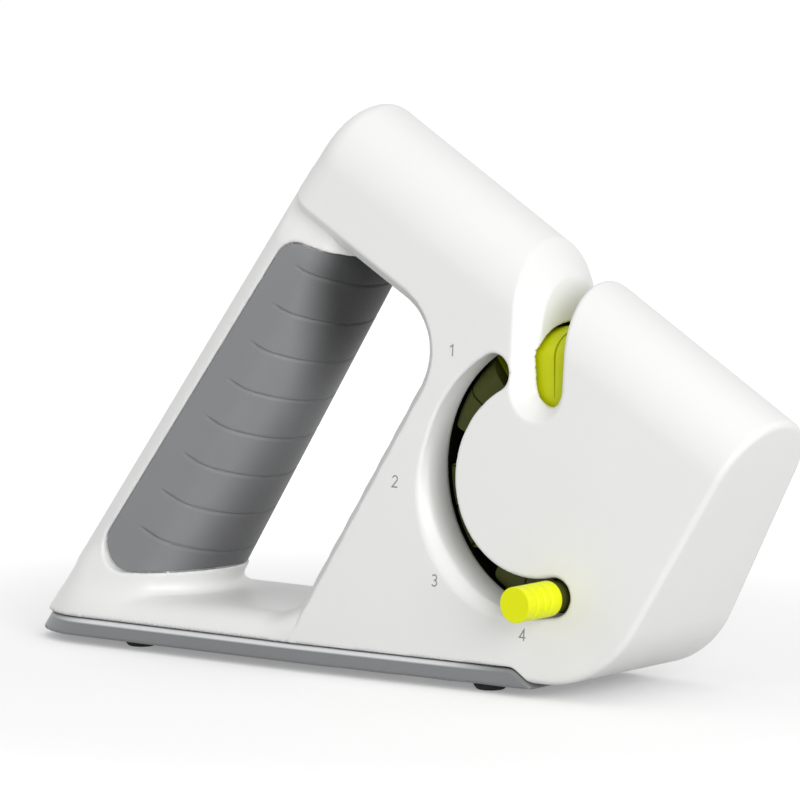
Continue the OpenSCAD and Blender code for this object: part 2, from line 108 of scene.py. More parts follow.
def new_material(name):
    """An empty node material with its output, as material, tree and output node."""
    material = bpy.data.materials.new(name)
    material.use_nodes = True
    tree = material.node_tree
    tree.nodes.clear()
    return material, tree, add_node(tree, "ShaderNodeOutputMaterial")


def fade(tree, value, first, last, low=0.0, high=1.0):
    """Goes smoothly from low to high as a length in the scene goes from first to last, in millimetres."""
    return add_node(tree, "ShaderNodeMapRange", {
        "Value": value, "From Min": first * MM, "From Max": last * MM, "To Min": low, "To Max": high},
        interpolation_type="SMOOTHSTEP").outputs["Result"]


def object_place(tree):
    """Place of a shaded point in the object's own coordinates, in metres."""
    return add_node(tree, "ShaderNodeTexCoord").outputs["Object"]


def two_tones(tree, factor, ends, colours):
    """Colour that goes from the first to the second as a factor goes from one end to the other."""
    ramp = add_node(tree, "ShaderNodeValToRGB", {"Fac": factor})
    for element, end, colour in zip(ramp.color_ramp.elements, ends, colours):
        element.position, element.color = end, colour
    return ramp.outputs["Color"]


def darker(colour, shade):
    """A linear colour less a share of its light."""
    return (*[(1 - shade) * c for c in colour[:3]], 1.0)


def coloured_by(material):
    """Tree of a plastic, the input for its colour, and the socket that feeds it now."""
    tree = material.node_tree
    shader = next(node for node in tree.nodes if node.type == "BSDF_PRINCIPLED")
    return tree, shader.inputs["Base Color"], shader.inputs["Base Color"].links[0].from_socket


# %% Mesh helpers
def make_object(name, points, faces, normals=None):
    """Object from points in millimetres from the drum axis and rows of corner numbers, with smooth shading.

    normals, where given, holds one direction for each face corner, in the order of the faces.
    """
    mesh = bpy.data.meshes.new(name)
    mesh.vertices.add(len(points))
    mesh.vertices.foreach_set("co", ((points + AXIS) * MM).astype(np.float32).ravel())
    mesh.loops.add(faces.size)
    mesh.loops.foreach_set("vertex_index", faces.ravel().astype(np.int32))
    mesh.polygons.add(len(faces))
    mesh.polygons.foreach_set("loop_start", np.arange(0, faces.size, faces.shape[1], dtype=np.int32))
    mesh.update(calc_edges=True)
    mesh.polygons.foreach_set("use_smooth", np.ones(len(faces), bool))
    if normals is not None:
        mesh.normals_split_custom_set(normals.reshape(-1, 3).tolist())
    piece = bpy.data.objects.new(name, mesh)
    scene.collection.objects.link(piece)
    return piece


def unit(vectors):
    """The same directions with a length of one."""
    return vectors / np.maximum(np.linalg.norm(vectors, axis=-1), 1e-9)[..., None]


def grid_faces(rows, columns, wrap_rows=False, wrap_columns=False):
    """Quads of a grid of points numbered row by row, closed on itself where it wraps."""
    i = np.arange(rows if wrap_rows else rows - 1)[:, None]
    j = np.arange(columns if wrap_columns else columns - 1)[None, :]
    i2, j2 = (i + 1) % rows, (j + 1) % columns
    corners = [i * columns + j, i2 * columns + j, i2 * columns + j2, i * columns + j2]
    return np.stack(np.broadcast_arrays(*corners), -1).reshape(-1, 4)


def weld(piece, sharp_degrees):
    """Merges doubled points, such as those of a pole, turns faces outwards and keeps crisp edges."""
    work = bmesh.new()
    work.from_mesh(piece.data)
    bmesh.ops.remove_doubles(work, verts=work.verts, dist=1e-6)
    bmesh.ops.recalc_face_normals(work, faces=work.faces)
    work.to_mesh(piece.data)
    work.free()
    piece.data.set_sharp_from_angle(angle=np.radians(sharp_degrees))
    return piece


def second_material(piece, material, faces):
    """Gives some faces of a piece another material than the rest."""
    piece.data.materials.append(material)
    piece.data.polygons.foreach_set("material_index", faces.astype(np.int32))


def finish_piece(piece, material, body, slot, *nodes):
    """Gives a piece its material and the body that it rides on, and hides the solids that it stands for.
    slot is not used.
    """
    piece.data.materials.append(material)
    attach(piece, body)
    if nodes:
        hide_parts(*nodes)
    print(piece.name, "has", len(piece.data.polygons), "faces")


# %% [markdown]
# ## Floor and light
# The object stands on a pale sweep in soft studio light. An even sky fills the shadows, a large lamp to the
# right of the camera lights the panel and the end face, one overhead makes the top of the barrel the
# brightest, and a weak one beside the heel fills the rear edges. The camera sees sky and open floor as
# white: for its rays the floor is paler and glows a little, more so where the lamps no longer reach. So the
# shadow stays, and the underside is still dim.

# %% Floor, sky and lamps
SKY, FLOOR_PALE, FLOOR_BOUNCE = 0.56, 0.8, 0.6
FLOOR_GLOW = [(110.0, 0.27), (300.0, 0.56)]
LAMPS = [("key", (1.26, -0.75, 0.36), 1.1, 16.0), ("overhead", (0.1, 0.0, 1.6), 1.6, 3.0),
         ("fill", (-1.2, -0.6, 0.7), 1.2, 2.5)]
LAMP_AIM = (0.0, 0.0, 0.06)
FLOOR_HALF = 8000.0


def camera_like(tree):
    """1 for rays that the eye follows: from the camera, or through a mirror or glass."""
    path = add_node(tree, "ShaderNodeLightPath")
    seen = path.outputs["Is Camera Ray"]
    for kind in ("Is Glossy Ray", "Is Transmission Ray"):
        either = add_node(tree, "ShaderNodeMath", {0: seen, 1: path.outputs[kind]}, operation="MAXIMUM")
        seen = either.outputs["Value"]
    return seen


world = bpy.data.worlds.new("studio")
scene.world = world
world.use_nodes = True
tree = world.node_tree
tree.nodes.clear()
strength = add_node(tree, "ShaderNodeMapRange", {"Value": camera_like(tree), "To Min": SKY, "To Max": 1.0})
sky = add_node(tree, "ShaderNodeBackground", {
    "Color": linear("#FFFFFF"), "Strength": strength.outputs["Result"]})
add_node(tree, "ShaderNodeOutputWorld", {"Surface": sky.outputs["Background"]})

# Matt painted board: white, without any gloss
board, tree, output = new_material("painted_board")
eye = camera_like(tree)
pale = add_node(tree, "ShaderNodeMapRange", {"Value": eye, "To Min": FLOOR_BOUNCE, "To Max": FLOOR_PALE})
matt = add_node(tree, "ShaderNodeBsdfDiffuse", {"Color": pale.outputs["Result"]})
away = add_node(tree, "ShaderNodeVectorMath", {0: object_place(tree)}, operation="LENGTH")
(near, near_glow), (far, far_glow) = FLOOR_GLOW
open_floor = fade(tree, away.outputs["Value"], near, far, near_glow, far_glow)
glow = add_node(tree, "ShaderNodeMath", {0: open_floor, 1: eye}, operation="MULTIPLY")
shine = add_node(tree, "ShaderNodeEmission", {"Strength": glow.outputs["Value"]})
both = add_node(tree, "ShaderNodeAddShader", {0: matt.outputs["BSDF"], 1: shine.outputs["Emission"]})
tree.links.new(both.outputs["Shader"], output.inputs["Surface"])
corners = np.array([[-1, -1, 0], [1, -1, 0], [1, 1, 0], [-1, 1, 0]]) * FLOOR_HALF - [0, 0, AXIS[2]]
floor = make_object("floor", corners, np.array([[0, 1, 2, 3]]))
floor.data.materials.append(board)

for name, place, width, watts in LAMPS:
    lamp_data = bpy.data.lights.new(name, "AREA")
    lamp_data.shape, lamp_data.size, lamp_data.energy = "DISK", width, watts
    lamp = bpy.data.objects.new(name, lamp_data)
    lamp.location = place
    lamp.rotation_euler = (Vector(place) - Vector(LAMP_AIM)).to_track_quat("Z", "Y").to_euler()
    scene.collection.objects.link(lamp)
    print(name, "lamp of", width, "m and", watts, "W")

# %% [markdown]
# ## Plastics and rubbers
# The body is white ABS from a mould with a fine spark-eroded grain, which shows as an uneven gloss. So a
# noise goes into bump and roughness, drawn coarser than the real 0.05 mm because that is finer than a
# pixel, and broad patches shift the shade a little. The soft grip, the feet and the lime parts are moulded
# from other plastics, so one function makes them all.


# %% Moulded plastics
PATCH_MM, NOISE_ENDS, GRAIN_STRENGTH, GLOSS_SWING = 18.0, (0.3, 0.7), 0.6, 0.05


def moulded(name, colour, roughness, grain_mm, grain_depth_mm, shade=0.03, **sockets):
    """Plastic from a grained mould: noise of the grain's size moves the surface and the gloss.

    grain_mm is the width of one grain, grain_depth_mm its height, and shade how far the colour darkens in
    broad patches.
    """
    material, tree, output = new_material(name)
    place = object_place(tree)
    grain, patch = (add_node(tree, "ShaderNodeTexNoise", {
        "Vector": place, "Scale": 1 / (mm * MM), "Detail": detail}).outputs["Fac"]
        for mm, detail in ((grain_mm, 3.0), (PATCH_MM, 2.0)))
    full = linear(colour)
    gloss = add_node(tree, "ShaderNodeMapRange", {
        "Value": grain, "From Min": NOISE_ENDS[0], "From Max": NOISE_ENDS[1],
        "To Min": roughness - GLOSS_SWING, "To Max": roughness + GLOSS_SWING})
    bump = add_node(tree, "ShaderNodeBump", {
        "Height": grain, "Strength": GRAIN_STRENGTH, "Distance": grain_depth_mm * MM})
    named = {key.replace("_", " ").title().replace("Ior", "IOR"): value for key, value in sockets.items()}
    shader = add_node(tree, "ShaderNodeBsdfPrincipled", {
        "Base Color": two_tones(tree, patch, NOISE_ENDS, (darker(full, shade), full)),
        "Roughness": gloss.outputs["Result"], "Normal": bump.outputs["Normal"], **named})
    tree.links.new(shader.outputs["BSDF"], output.inputs["Surface"])
    return material


# ABS, satin from a grained mould: bright, with broad soft reflections
white_abs = moulded("white_abs", "#EBEBEA", 0.40, 0.5, 0.004, shade=0.012, ior=1.53)
# Painted shade: the same ABS inside the drum room is drawn matt black for the shade that falls there
painted_shade_black = moulded("black_abs_painted_shade", "#060606", 0.7, 0.5, 0.01, ior=1.53)
# Thermoplastic elastomer, soft to the touch: dull, with a velvety edge
grip_tpe = moulded("grey_tpe_grip", "#87888A", 0.62, 0.45, 0.012, shade=0.05, ior=1.5, sheen_weight=0.08)
# Grey ABS of the base plate, a little glossier than the body
grey_abs = moulded("grey_abs", "#808284", 0.36, 0.5, 0.004, ior=1.53)
# Nitrile rubber of the feet: nearly black and dull
foot_rubber = moulded("black_nitrile_rubber", "#191919", 0.75, 0.6, 0.02, shade=0.1, ior=1.5)
# Acetal of the knob and the drum: lime, close-grained and slippery, so it shines softly
lime_acetal = moulded("lime_acetal", "#E8EE00", 0.34, 0.4, 0.003, ior=1.48, specular_ior_level=0.25)
lime_drum = moulded("lime_acetal_drum", "#D2DB06", 0.38, 0.4, 0.003, shade=0.05, ior=1.48,
                    specular_ior_level=0.3)
# Painted shade: the acetal of the drum's sides and of the knob's stem, deep behind the selector slot, is
# drawn dark olive and dull for the shade there
painted_shade_olive = moulded("olive_acetal_painted_shade", "#484D1C", 0.6, 0.4, 0.003, shade=0.1, ior=1.48,
                    specular_ior_level=0.25)
# Screen ink of the stage numbers
grey_ink = moulded("grey_screen_ink", "#8E8F92", 0.55, 0.3, 0.002, shade=0.05, ior=1.5)
print("plastics:", [m.name for m in bpy.data.materials if m.node_tree and len(m.node_tree.nodes) > 5])

# %% [markdown]
# ## Metals and abrasives
# The screws and the axle are zinc-plated steel, the coarse stage is a pair of ground carbide blades, the
# medium stage two steel rods with bonded diamond grit, and the fine and scissors stages are white alumina
# rods. They hide inside the drum, but each has its real finish.


# %% Metals and abrasives
CELL_ENDS, GRIT_STRENGTH = (0.1, 0.8), 0.7


def gritty(name, colour, metallic, roughness, grit_mm, grit_depth_mm, shade):
    """Hard material whose grit is a cell pattern: the cells raise the surface and shade it."""
    material, tree, output = new_material(name)
    grit = add_node(tree, "ShaderNodeTexVoronoi", {
        "Vector": object_place(tree), "Scale": 1 / (grit_mm * MM)}).outputs["Distance"]
    full = linear(colour)
    bump = add_node(tree, "ShaderNodeBump", {
        "Height": grit, "Strength": GRIT_STRENGTH, "Distance": grit_depth_mm * MM})
    shader = add_node(tree, "ShaderNodeBsdfPrincipled", {
        "Base Color": two_tones(tree, grit, CELL_ENDS, (full, darker(full, shade))),
        "Metallic": metallic, "Roughness": roughness, "Normal": bump.outputs["Normal"]})
    tree.links.new(shader.outputs["BSDF"], output.inputs["Surface"])
    return material


zinc_steel = gritty("zinc_plated_steel", "#B9BBBE", 1.0, 0.32, 0.5, 0.003, 0.12)
ground_carbide = gritty("ground_tungsten_carbide", "#6E7175", 1.0, 0.28, 0.15, 0.003, 0.2)
diamond_grit = gritty("bonded_diamond_grit", "#8A8C90", 0.8, 0.5, 0.2, 0.03, 0.45)
white_alumina = gritty("white_alumina_ceramic", "#F1EFE7", 0.0, 0.55, 0.25, 0.008, 0.08)
FINISHES = [(zinc_steel, ["drum_axle", "wave_washer", "housing_screws", "base_screws", "drum_screws"]),
            (ground_carbide, ["coarse_blade_left", "coarse_blade_right"]),
            (diamond_grit, ["medium_rod_left", "medium_rod_right"]),
            (white_alumina, ["fine_rod_left", "fine_rod_right", "scissor_rod_left", "scissor_rod_right"])]
for finish, node_names in FINISHES:
    for node_name in node_names:
        node_mesh = frame["nodes"][node_name].data
        node_mesh.materials.clear()
        node_mesh.materials.append(finish)
    print(finish.name, "on", len(node_names), "solids that keep their own meshes")

# %% [markdown]
# ## Describing the moulded body with distances
# The body is pierced by three openings, and its handle flares into the base, so no single grid of two
# parameters lies on it. Booleans could cut it, but their edges are hard and a moulded edge is always round.
# So the body is described by a distance: a function of a point that is negative inside the plastic and
# grows by one for each millimetre outwards. The larger of two distances is the overlap of two solids, the
# smaller is their union, and a circle in the plane of the two distances rounds the edge between them by a
# true radius.


# %% Rounded overlap and rounded union
def fillet(a, b, radius, cosine=0.0):
    """Overlap of two solids with a round edge, from their distances a and b.

    The round part is the distance to the line where both are one radius inside, less the radius. cosine is
    that of the angle between the outward directions of the two surfaces.
    """
    u, v = a + radius, b + radius
    span = np.sqrt(np.maximum(u * u + v * v - 2 * cosine * u * v, 0) / (1 - cosine ** 2)) - radius
    return np.where((u > cosine * v) & (v > cosine * u), span, np.maximum(a, b))


def cove(a, b, radius):
    """Union of two solids with a hollow fillet between them: the overlap of what lies outside both."""
    return -fillet(-a, -b, radius)


def chamfer(a, b, leg, radius, cosine=0.0):
    """Overlap of two solids whose edge is cut off by a flat, with both of the new edges rounded.

    The flat leaves each surface one leg from the old edge. Its direction lies halfway between theirs.
    """
    flat = (a + b + leg) / np.sqrt(2 + 2 * cosine)
    halfway = np.sqrt((1 + cosine) / 2)
    return fillet(fillet(a, flat, radius, halfway), b, radius, halfway)


def smooth(t):
    """Goes from 0 to 1 as t does, with level ends: three squares less two cubes."""
    t = np.clip(t, 0, 1)
    return t * t * (3 - 2 * t)


def to_nearest(a, b, spots):
    """Distance in a plane from the nearest of some spots."""
    return np.min([np.hypot(a - spot_a, b - spot_b) for spot_a, spot_b in spots], axis=0)


cut_back = -fillet(np.array(0.0), np.array(0.0), 2.0)
print("a square edge rounded by 2 mm is cut back", abs(round(float(cut_back), 2)), "mm")

# %% [markdown]
# The barrel and the head share a section: a round ridge over two side panels that widen downwards by five
# degrees, so that the part leaves its mould. Seen from the side they are a strip 30 degrees below the level
# with a square end, and the finger opening is cut out of their lower rear. p runs along the barrel to the
# nose and q square to it.

# %% Barrel and head
TILT, DRAFT = np.radians(30), np.radians(5)
CT, ST = np.cos(TILT), np.sin(TILT)
CD, SD = np.cos(DRAFT), np.sin(DRAFT)
RIDGE, RIDGE_RISE, CROWN = 41.5, 0.01, 16.4
END, HEAD_REAR, LEDGE = 41.0, 40.0, 13.7
AXIS_UP, NOSE_UP, NOSE_R = AXIS[2], 3.5, 28.0
EDGE_R, SMALL_EDGE_R, OPENING_EDGE_R, OPENING_CUT, GUSSET_R = 1.5, 0.5, 4.4, 2.6, 14.5
REAR_R, CORNER_R = 8.0, 4.0


def level_of(p, q):
    """Height above the floor of a point along and square to the barrel."""
    return q * CT - p * ST + AXIS_UP


def rise_of(p, q):
    """Height over the line that the ridge's circle is carried along, which climbs a little to the rear."""
    return q - RIDGE + CROWN - RIDGE_RISE * (END - p)


def panel(p, y, q):
    """Distance from the drafted side panel: the half width less the panel's, square to the panel."""
    return np.abs(y) * CD + rise_of(p, q) * SD - CROWN


def arch(p, y, q):
    """Distance from the section of barrel and head: a circle over two drafted panels."""
    rise = rise_of(p, q)
    on_top = rise * CD > np.abs(y) * SD
    return np.where(on_top, np.hypot(y, rise) - CROWN, panel(p, y, q))


def opening(p, q):
    """Distance from the finger opening's upper part in side view, a quarter plane with a round corner."""
    return fillet(p + HEAD_REAR, q - LEDGE, GUSSET_R)


half_width = (CROWN + (RIDGE - CROWN) * SD) / CD
print("half width of the panel at the drum axis", round(half_width, 2), "mm")

# %% [markdown]
# The handle leans 54 degrees from the level. It is a little wider and deeper at its foot than at the
# barrel, its front is round for the fingers, and at its foot it sweeps out into the wide base in one hollow
# curve, which is a union with a large cove.

# %% Handle and base
LEAN = np.radians(54.35)
CB, SB = np.cos(LEAN), np.sin(LEAN)
HEEL_X = -155.9
HANDLE_TOP, HANDLE_TAPER, HANDLE_HIGH = 17.2, 0.023, 131.8
FRONT_DEPTH, FRONT_TAPER, FRONT_AT, FRONT_ROUND = 30.0, 0.049, 46.8, 1.25
TURN_R, TURN_COSINE, HANDLE_OVERLAP = 6.0, 0.72, 10.0
DIP, DIP_LONG, DIP_START, DIP_FADE = 1.7, 9.0, 1.5, 4.0
BASE_HALF, BASE_SIDE_R, BASE_TOP, HEAD_COVE_R = 25.0, 150.0, 45.0, 8.0
FOOT_UP, FOOT_EDGE_R, FLARE_R, FRONT_FLARE_R, FLARE_FROM, FLARE_RUN = 12.8, 8.0, 12.0, 3.5, 10.0, 16.0
SEAT_UP, HEEL_R, HEEL_BLEND = 6.7, 15.0, 14.0
SEAT_END, SEAT_RUN, SEAT_DROP = -5.3, 9.5, 5.0


def handle_place(p, q):
    """Depth from the back plane and place up along it."""
    x = p * CT + q * ST - HEEL_X
    z = level_of(p, q)
    return x * SB - z * CB, x * CB + z * SB


def rear_radius(level):
    """Radius of the two rear edges, which grows to the heel's at the base."""
    return REAR_R + (HEEL_R - REAR_R) * (1 - smooth((level - SEAT_UP) / HEEL_BLEND))


def handle_shape(along):
    """Half width, front depth and front radius of the handle's section at a place along it."""
    half = HANDLE_TOP + HANDLE_TAPER * (HANDLE_HIGH - along)
    return half, FRONT_DEPTH - FRONT_TAPER * (along - FRONT_AT), FRONT_ROUND * half


def ledge_dip(depth, q):
    """How far the handle draws in just under the barrel's ledge, fading out to the rear edge."""
    return DIP * smooth((q - LEDGE) / DIP_LONG + 1) * smooth((depth - DIP_START) / DIP_FADE)


def handle(p, y, q):
    """Distance from the handle: two sides and a round front, overlapped with the back plane."""
    depth, along = handle_place(p, q)
    half, front, front_r = handle_shape(along)
    nose = np.hypot(depth - front + front_r, y) - front_r
    section = fillet(np.abs(y) - half, nose, TURN_R, TURN_COSINE) + ledge_dip(depth, q)
    return np.maximum(fillet(section, -depth, rear_radius(level_of(p, q))), q - LEDGE - HANDLE_OVERLAP)


def base_sides(p, y, q):
    """Distance from the base's two sides: the panels, held to the base's width."""
    return fillet(np.abs(y) - BASE_HALF, panel(p, y, q), BASE_SIDE_R, CD)


def seat(p, q):
    """Height of the body's underside: level over the base plate, then an S down to the nose."""
    x = p * CT + q * ST
    return SEAT_UP - SEAT_DROP * smooth((x - SEAT_END) / SEAT_RUN)


print("handle half width at its foot", round(float(handle_shape(30.0)[0]), 1), "mm")

# %% [markdown]
# The knife slot stands upright in use, with a bevel that guides the blade and is wider on the handle side.
# The selector slot is an arc round the drum's axis, and its outer edge is cut back in a crescent so that a
# thumb can follow the knob. A skirt carries the walls of both slots down to the drum, and the grip lies in
# a shallow bed round the handle.

# %% Slots, drum room and the grip's bed
KNIFE_X, KNIFE_HALF, KNIFE_LOW = 0.8, 4.5, 16.3
LIP, LIP_SWING, LIP_R = 3.0, 1.9, 1.0
ARC_R, ARC_HALF, ARC_MID, ARC_SPAN = 27.2, 4.5, np.radians(201.6), np.radians(81.6)
CRESCENT, CRESCENT_DEPTH, CRESCENT_MID, CRESCENT_SPAN = 2.35, 2.4, np.radians(222), np.radians(55)
CRESCENT_SOFT, ARC_EDGE_R, ROOM_EDGE_R = 0.02, 0.8, 0.6
WALL, ROOM_R, SKIRT, KNIFE_SKIRT = 2.4, 36.5, 2.0, 8.0
DRUM_HALF, DRUM_R, DRUM_CROWN, DRUM_GAP = 11.5, 34.0, 6.5, 0.9
BED, BED_FRONT, GRIP_INSET, GRIP_LIP = 1.3, 3.0, 0.5, 0.6
GRIP_LEFT, GRIP_LEFT_TAPER, GRIP_LEFT_AT, GRIP_CORNER = 6.5, 0.005, 80.0, 6.5
GRIP_LOW, GRIP_LOW_SLOPE, GRIP_MID = 17.9, 0.05, 17.5
GRIP_TOP, GRIP_TOP_AT, GRIP_TOP_SLOPE, GRIP_TOP_COSINE = 131.1, 10.6, 0.367, 0.3
SCREW_SPOTS = np.array([[-78, 27.5], [-37, 23], [32.5, 21.5], [33, -23.5], [-32.5, -30], [-92.2, -93.9]])
SCREW_HEAD_R, SCREW_SEAT = 2.8, 9.5
FAR_OFF, COSINE_LIMIT = 50.0, 0.9


def knife_slot(x, z):
    """Distance from an upright slot with a round bottom, and the direction in which it grows."""
    across, above = x - KNIFE_X, z - KNIFE_LOW - KNIFE_HALF
    low = above < 0
    size = np.where(low, np.hypot(across, above), np.abs(across))
    safe = np.maximum(size, 1e-6)
    return size - KNIFE_HALF, across / safe, np.where(low, above, 0) / safe


def turned_from(angle, middle):
    """Angle from a middle direction, between minus and plus half a turn."""
    return np.angle(np.exp(1j * (angle - middle)))


def selector_slot(x, z):
    """Distance from an arc-shaped slot with round ends: that to its middle line less half its width."""
    swing = turned_from(np.arctan2(z, x), ARC_MID)
    end = ARC_MID + np.sign(swing) * ARC_SPAN
    to_end = np.hypot(x - ARC_R * np.cos(end), z - ARC_R * np.sin(end))
    return np.where(np.abs(swing) < ARC_SPAN, np.abs(np.hypot(x, z) - ARC_R), to_end) - ARC_HALF


def crescent(x, z, sunk):
    """How far the slot's outer side is cut back at a depth under the panel: a cone that fades both ways."""
    swing = turned_from(np.arctan2(z, x), CRESCENT_MID)
    ramp = 1 - sunk / CRESCENT_DEPTH
    cone = (ramp + np.sqrt(ramp ** 2 + CRESCENT_SOFT)) / 2
    widen = CRESCENT * np.clip(1 - (swing / CRESCENT_SPAN) ** 2, 0, 1) * cone
    return np.where(np.hypot(x, z) > ARC_R, widen, 0)


def drum_space(x, y, z, gap):
    """Distance from the room that the turning drum sweeps: a disc whose rim is crowned like the drum's."""
    radius = np.hypot(x, z)
    climb = np.clip((radius - DRUM_R + DRUM_CROWN) / (DRUM_CROWN + gap), 0, 1)
    return np.maximum(np.abs(y) - (DRUM_HALF + gap) * np.sqrt(1 - climb ** 2), radius - DRUM_R - gap)


def grip_rear(along):
    """Depth of the grip's rear edge at a place up the handle."""
    return GRIP_LEFT + GRIP_LEFT_TAPER * (along - GRIP_LEFT_AT)


def grip_bed(p, q):
    """Distance from the grip's outline in side view, with two round rear corners, to just past the front."""
    depth, along = handle_place(p, q)
    left = grip_rear(along) - depth
    low = GRIP_LOW + GRIP_LOW_SLOPE * (depth - GRIP_MID) - level_of(p, q)
    top = (along - GRIP_TOP - GRIP_TOP_SLOPE * (depth - GRIP_TOP_AT)) / np.hypot(1, GRIP_TOP_SLOPE)
    rear = fillet(fillet(left, low, GRIP_CORNER, -CB), top, GRIP_CORNER, GRIP_TOP_COSINE)
    return np.maximum(rear, depth - handle_shape(along)[1] - BED_FRONT)


def drum_room(p, y, q):
    """Distance from the hollow round the drum, less the skirts that carry both slots down to the drum."""
    x, z = p * CT + q * ST, q * CT - p * ST
    room = np.maximum(arch(p, y, q) + WALL, np.hypot(x, z) - ROOM_R)
    off_drum = -drum_space(x, y, z, DRUM_GAP)
    arc_skirt = np.maximum(np.maximum(selector_slot(x, z) - SKIRT, y), off_drum)
    knife_skirt = np.maximum(knife_slot(x, z)[0] - KNIFE_SKIRT, off_drum)
    return np.maximum(room, -np.minimum(arc_skirt, knife_skirt))


print("selector slot runs from radius", ARC_R - ARC_HALF, "to", ARC_R + ARC_HALF)


# %% The whole body as one distance
def outer_body(p, y, q):
    """Distance from the closed body without its slots: barrel and head, handle and base as one union."""
    level = level_of(p, q)
    depth = handle_place(p, q)[0]
    bar = arch(p, y, q)
    nose = fillet(p - END, NOSE_UP - level, NOSE_R, ST)
    block = chamfer(fillet(bar, nose, EDGE_R), -opening(p, q), OPENING_CUT, SMALL_EDGE_R)
    ridge = smooth(rise_of(p, q) / CROWN)
    block = fillet(block, -depth, REAR_R + (CORNER_R - REAR_R) * ridge)
    grip_core = handle(p, y, q)
    sides = fillet(base_sides(p, y, q), -depth, rear_radius(level))
    flare = FLARE_R + (FRONT_FLARE_R - FLARE_R) * smooth((depth - FLARE_FROM) / FLARE_RUN)
    core = cove(cove(grip_core, level - FOOT_UP, flare), -HEAD_REAR - p, HEAD_COVE_R)
    edge = OPENING_EDGE_R + (FOOT_EDGE_R - OPENING_EDGE_R) * (1 - smooth((level - FOOT_UP) / FLARE_R))
    base = np.maximum(fillet(fillet(core, sides, edge), nose, EDGE_R), level - BASE_TOP)
    return np.minimum(np.minimum(block, base), grip_core)


def pierced_body(p, y, q):
    """Distance from the body with its slots, screw holes and grip bed, before it is hollowed out."""
    x, z = p * CT + q * ST, q * CT - p * ST
    shape = outer_body(p, y, q)
    bed = grip_bed(p, q)
    shape = np.minimum(np.maximum(shape, handle(p, y, q) + BED), fillet(shape, -bed, GRIP_LIP))
    slot, grow_x, grow_z = knife_slot(x, z)
    rise = rise_of(p, q)
    lean = np.where(rise > 0, rise / np.maximum(np.hypot(y, rise), 1e-6), SD)
    meet = np.clip(-lean * (ST * grow_x + CT * grow_z), -COSINE_LIMIT, COSINE_LIMIT)
    shape = chamfer(shape, -slot, LIP - LIP_SWING * grow_x, LIP_R, meet)
    arc = np.where(y < 0, selector_slot(x, z) - crescent(x, z, -panel(p, y, q)), FAR_OFF)
    shape = fillet(shape, -arc, ARC_EDGE_R)
    heads = to_nearest(p, q, SCREW_SPOTS) - SCREW_HEAD_R
    return fillet(shape, -np.maximum(heads, SCREW_SEAT - y), SMALL_EDGE_R)


def body(p, y, q):
    """Distance from the moulded body: the pierced body, less the drum room and what lies below its seat."""
    shape = fillet(pierced_body(p, y, q), -drum_room(p, y, q), ROOM_EDGE_R)
    return fillet(shape, seat(p, q) - level_of(p, q), SMALL_EDGE_R)


print("the drum axis lies", round(float(-outer_body(*np.zeros((3, 1)))[0]), 1), "mm inside the closed body")

# %% [markdown]
# ## From distances to a mesh
# A surface net turns the distance, sampled on a grid, into quads. Each cell that the surface passes through
# gets one point, at the mean of the places where the surface crosses the cell's edges, and each grid edge
# that changes sign joins the four points around it. The points are then pulled onto the exact surface along
# the distance's slope, which is also the shading direction, so flat panels shade flat and round edges
# round.


# %% Surface net
def slope(field, points, reach):
    """Direction and steepness of a distance at some points, from differences over twice the reach."""
    offsets = np.eye(3) * reach
    parts = [field(*(points + o).T) - field(*(points - o).T) for o in offsets]
    return np.stack(parts, -1) / (2 * reach)


def surface_net(field, low, high, step):
    """Points and quads of the surface where the distance is zero, in the box from low to high."""
    axes = [np.arange(a, b + step, step) for a, b in zip(low, high)]
    value = field(*np.meshgrid(*axes, indexing="ij"))
    cells = np.array(value.shape) - 1
    total, count = np.zeros((*cells, 3)), np.zeros(cells)
    crossings = []
    for k in range(3):
        a, b = (np.take(value, np.arange(n, n + cells[k]), k) for n in (0, 1))
        cross = (a < 0) != (b < 0)
        share = np.where(cross, a / np.where(cross, a - b, 1), 0)
        others = [m for m in range(3) if m != k]
        for shift in np.ndindex(2, 2):
            cut = [slice(None)] * 3
            for m, s in zip(others, shift):
                cut[m] = slice(s, s + cells[m])
            hit = cross[tuple(cut)]
            count += hit
            total[..., k] += share[tuple(cut)]
            for m, s in zip(others, shift):
                total[..., m] += s * hit
        crossings.append((cross, a < 0))
    used = count > 0
    number = np.cumsum(used).reshape(used.shape) - 1
    where = np.stack(np.nonzero(used), -1)
    points = np.array(low) + step * (where + total[used] / count[used][:, None])
    quads = [net_quads(cross, rising, number, k) for k, (cross, rising) in enumerate(crossings)]
    return points, np.concatenate(quads)


def net_quads(cross, rising, number, k):
    """Quads around the grid edges in direction k that change sign, turned so that they face outwards."""
    m, n = (k + 1) % 3, (k + 2) % 3
    at = np.stack(np.nonzero(cross), -1)
    inner = np.all([at[:, o] >= 1 for o in (m, n)] + [at[:, o] < number.shape[o] for o in (m, n)], axis=0)
    at = at[inner]
    corners = []
    for dm, dn in ((-1, -1), (0, -1), (0, 0), (-1, 0)):
        cell = at.copy()
        cell[:, m] += dm
        cell[:, n] += dn
        corners.append(number[tuple(cell.T)])
    quad = np.stack(corners, -1)
    outward = rising[tuple(at.T)]
    return np.where(outward[:, None], quad, quad[:, ::-1])


def pull_onto(field, points, leash, rounds=4, reach=0.02, least_steep=0.25):
    """Moves points along the slope until the distance there is zero, each on a leash in every direction."""
    start = points
    for _ in range(rounds):
        gradient = slope(field, points, reach)
        steep = np.maximum((gradient ** 2).sum(1), least_steep)
        points = points - gradient * (field(*points.T) / steep)[:, None]
        points = start + np.clip(points - start, -leash, leash)
    return points


ball = surface_net(lambda x, y, z: np.sqrt(x * x + y * y + z * z) - 5, [-6] * 3, [6] * 3, 1.0)
print("the net of a ball has", len(ball[0]), "points and", len(ball[1]), "quads")
